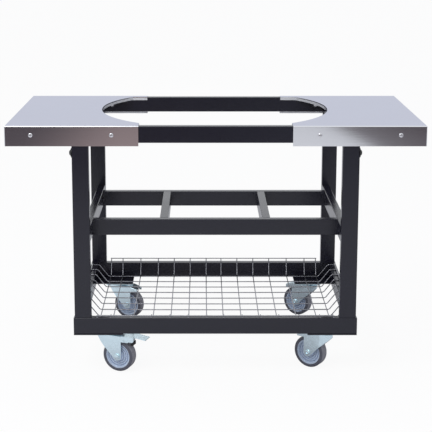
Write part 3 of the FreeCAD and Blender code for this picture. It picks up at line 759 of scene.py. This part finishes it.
# Brake pedal of the front-left caster, pressed from steel sheet and zinc plated, on a pin through
# the fork, and its shoe of black rubber, which the foot presses on the tyre.
pedal = copied("front_left_brake_pedal")
break_edges(pedal, width=0.0009, segments=3)
paint(pedal, zinc_plate)
stand_for(pedal, "front_left_brake_pedal", "front_left_pedal")
shoe_rubber = moulded("shoe_rubber", (0.012, 0.012, 0.012), roughness=0.7, grain=0.00008)
shoe = copied("front_left_brake_shoe")
break_edges(shoe, width=0.0012, segments=3)
paint(shoe, shoe_rubber)
stand_for(shoe, "front_left_brake_shoe", "front_left_pedal")


# Tyres of soft grey rubber, moulded round the wheel centres, with rounded shoulders. The tread is
# paler than the side walls. One tyre is made at its axle and copied to the four casters.
wheel_sides = 96
tyre_width = 0.032
tyre_thickness = 0.0105
tyre_shoulder = 0.005


def begin_wheel_piece(radius, width):
    """A round slab on the Y axis, open for shaping."""
    bpy.ops.object.select_all(action="DESELECT")
    bpy.ops.mesh.primitive_cylinder_add(
        vertices=wheel_sides, radius=radius, depth=width, rotation=(math.pi / 2, 0, 0)
    )
    bpy.ops.object.transform_apply(location=True, rotation=True, scale=True)
    bpy.ops.object.mode_set(mode="EDIT")


def bridge_bore():
    """Join the two open rims of a ring whose middle was deleted."""
    pick("edges", lambda edge: edge.is_boundary)
    bpy.ops.mesh.bridge_edge_loops()


def on_outer_rim(edge):
    """Whether an edge of the tyre is where its tread meets a side wall."""
    middle = (edge.verts[0].co + edge.verts[1].co) / 2
    past_wall = abs(middle.y) > tyre_width / 2 - tyre_shoulder / 2
    return past_wall and middle.xz.length > wheel_radius - tyre_shoulder / 2


begin_wheel_piece(wheel_radius, tyre_width)
pick("faces", lambda face: abs(face.normal.y) > 0.9)
bpy.ops.mesh.inset(thickness=tyre_thickness)
bpy.ops.mesh.delete(type="FACE")
bridge_bore()
pick("edges", on_outer_rim)
bpy.ops.mesh.bevel(offset=tyre_shoulder, segments=5, affect="EDGES")
tyre = finish_piece(angle=35)
tyre_rubber = moulded("tyre_rubber", (0.27, 0.27, 0.31), roughness=0.6, grain=0.00006)
sidewall_rubber = moulded("sidewall_rubber", (0.095, 0.10, 0.13), roughness=0.55, grain=0.00006)
paint(tyre, tyre_rubber, sidewall_rubber)
for face in tyre.data.polygons:
    face.material_index = int(abs(face.normal.y) > 0.6)
axle_place = Matrix.Translation((trail, 0, wheel_radius))
tyre.data.transform(axle_place)
for corner in corners:
    to_caster(tyre, corner, "tyre", "wheel")
bpy.data.objects.remove(tyre)


# Wheel centres of blue-grey plastic: a rim under the tyre, a web with three deep round grooves
# that keep it light, and a hub that runs on the axle.
def inset_web_to(radius):
    """Select the web's two flat middles and inset them to a radius."""
    pick("faces", lambda face: abs(face.normal.y) > 0.9 and len(face.verts) == wheel_sides)
    mesh = bmesh.from_edit_mesh(bpy.context.object.data)
    web_radius = max(vertex.co.xz.length for vertex in mesh.verts if vertex.select)
    bpy.ops.mesh.inset(thickness=web_radius - radius)


rim_radius = wheel_radius - tyre_thickness
rim_width = 0.028
rim_lip = 0.0035
rim_slope = 0.0015
web_width = 0.020
groove_radii = (0.0342, 0.0275, 0.0208)
groove_width = 0.0026
groove_slope = 0.0004
groove_depth = 0.005
hub_width = 0.037
hub_radius = 0.014
hub_slope = 0.0008
bore_radius = 0.005
begin_wheel_piece(rim_radius, rim_width)
pick("faces", lambda face: abs(face.normal.y) > 0.9)
bpy.ops.mesh.inset(thickness=rim_lip)
bpy.ops.mesh.inset(thickness=rim_slope)
bpy.ops.transform.shrink_fatten(value=-(rim_width - web_width) / 2)
for groove_radius in groove_radii:
    inset_web_to(groove_radius)
    bpy.ops.mesh.inset(thickness=groove_slope)
    bpy.ops.transform.shrink_fatten(value=-groove_depth)
    bpy.ops.mesh.inset(thickness=groove_width)
    bpy.ops.mesh.inset(thickness=groove_slope)
    bpy.ops.transform.shrink_fatten(value=groove_depth)
inset_web_to(hub_radius)
bpy.ops.mesh.inset(thickness=hub_slope)
bpy.ops.transform.shrink_fatten(value=(hub_width - web_width) / 2)
bpy.ops.mesh.inset(thickness=hub_radius - hub_slope - bore_radius)
bpy.ops.mesh.delete(type="FACE")
bridge_bore()
core = finish_piece(angle=30)
core.data.transform(axle_place)
paint(core, moulded("wheel_plastic", (0.58, 0.68, 0.84), roughness=0.3, grain=0.00003))
for corner in corners:
    to_caster(core, corner, "wheel_core", "wheel")
bpy.data.objects.remove(core)


# The basket of bright steel wire, bent to shape and welded where the wires cross. Three of its
# walls hook over the base frame, the back wall stands up to a rim wire, and the floor sags a little.
wire_radius = 0.0016
wire_bend = 0.0045
weld_sink = 0.0005
sag = 0.0015
hook_gap = 0.0003
floor_lift = 0.0018
back_wall_rise = 0.0172
side_gap = 0.0045
side_slope = 0.0345
end_gap = 0.0048
end_slope = 0.019
end_margin = 0.006
side_margin = 0.008
long_wire_count = 9
long_wire_pitch = 0.0586
cross_wire_gaps = (0.041, 0.064, 0.0625, 0.057, 0.057, 0.057)
low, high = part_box("wire_basket")
rail_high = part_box("base_front_rail")[1]
rail_inner_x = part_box("base_left_side_rail")[1].x
rail_inner_y = rail_high.y
hook_z = rail_high.z + hook_gap + wire_radius
long_z = low.z + wire_radius + floor_lift
cross_z = long_z + 2 * wire_radius - weld_sink
rim_z = hook_z + 2 * wire_radius - weld_sink
back_rim_z = rail_high.z + back_wall_rise
side_rim = -rail_inner_x - side_gap
side_bend = side_rim - side_slope
end_rim = -rail_inner_y - end_gap
end_bend = end_rim - end_slope
long_wires = [end_bend - end_margin - i * long_wire_pitch for i in range(long_wire_count)]
cross_half = [side_bend - side_margin]
for gap in cross_wire_gaps:
    cross_half.append(cross_half[-1] - gap)
cross_wires = [-x for x in cross_half] + cross_half[::-1]


def sagging(x, y):
    """How far the floor of the basket hangs down at a place."""
    return sag * (1 - (x / side_bend) ** 2) * (1 - (y / end_bend) ** 2)


def bend_key(place):
    return tuple(round(value, 6) for value in place)


points = []
runs = []
bends = set()


def wire(run, bend_places=()):
    """Lay a wire through points, and note which of them are bends."""
    first = len(points)
    points.extend(run)
    runs.extend((first + i, first + i + 1) for i in range(len(run) - 1))
    bends.update(bend_key(run[i]) for i in bend_places)


for y in long_wires:
    floor_run = [(x, y, long_z - sagging(x, y)) for x in cross_wires]
    wire(
        [(low.x, y, hook_z), (-side_rim, y, hook_z), (-side_bend, y, long_z), *floor_run,
         (side_bend, y, long_z), (side_rim, y, hook_z), (high.x, y, hook_z)],
        (1, 2, -3, -2),
    )
for x in cross_wires:
    floor_run = [(x, y, cross_z - sagging(x, y)) for y in reversed(long_wires)]
    wire(
        [(x, low.y, hook_z), (x, -end_rim, hook_z), (x, -end_bend, cross_z), *floor_run,
         (x, end_bend, cross_z), (x, end_rim, hook_z), (x, end_rim, back_rim_z + wire_radius)],
        (1, 2, -3, -2),
    )
rim_inset = 0.005
rim_overhang = 0.004
front_rim_y = low.y + rim_inset
back_rim_y = end_rim + 2 * wire_radius - weld_sink
rim_reach = cross_wires[-1] + 2 * wire_radius
wire([(-rim_reach, front_rim_y, rim_z), (rim_reach, front_rim_y, rim_z)])
wire([(-rim_reach, back_rim_y, back_rim_z), (rim_reach, back_rim_y, back_rim_z)])
front_end = long_wires[-1] - rim_overhang
back_end = long_wires[0] + rim_overhang
for side in (-1, 1):
    rim_x = side * (high.x - rim_inset)
    wire([(rim_x, front_end, rim_z), (rim_x, back_end, rim_z)])
bpy.ops.object.select_all(action="DESELECT")
centre_lines = bpy.data.meshes.new("basket_wires")
centre_lines.from_pydata(points, runs, [])
basket = bpy.data.objects.new("basket_wires", centre_lines)
scene.collection.objects.link(basket)
basket.select_set(True)
bpy.context.view_layer.objects.active = basket
bpy.ops.object.mode_set(mode="EDIT")
bpy.ops.mesh.select_mode(type="VERT")
bpy.ops.mesh.select_all(action="DESELECT")
mesh = bmesh.from_edit_mesh(centre_lines)
for vertex in mesh.verts:
    vertex.select_set(bend_key(vertex.co) in bends)
bmesh.update_edit_mesh(centre_lines)
bpy.ops.mesh.bevel(affect="VERTICES", offset=wire_bend, segments=4)
bpy.ops.object.mode_set(mode="OBJECT")
bpy.ops.object.convert(target="CURVE")
basket = bpy.context.object
basket.data.bevel_depth = wire_radius
basket.data.bevel_resolution = 3
basket.data.use_fill_caps = True
bpy.ops.object.convert(target="MESH")
basket = bpy.context.object
bpy.ops.object.shade_smooth_by_angle(angle=math.radians(50))
paint(basket, zinc("basket_wire_plate", (0.36, 0.36, 0.39)))
stand_for(basket, "wire_basket", "basket")

low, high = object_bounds()
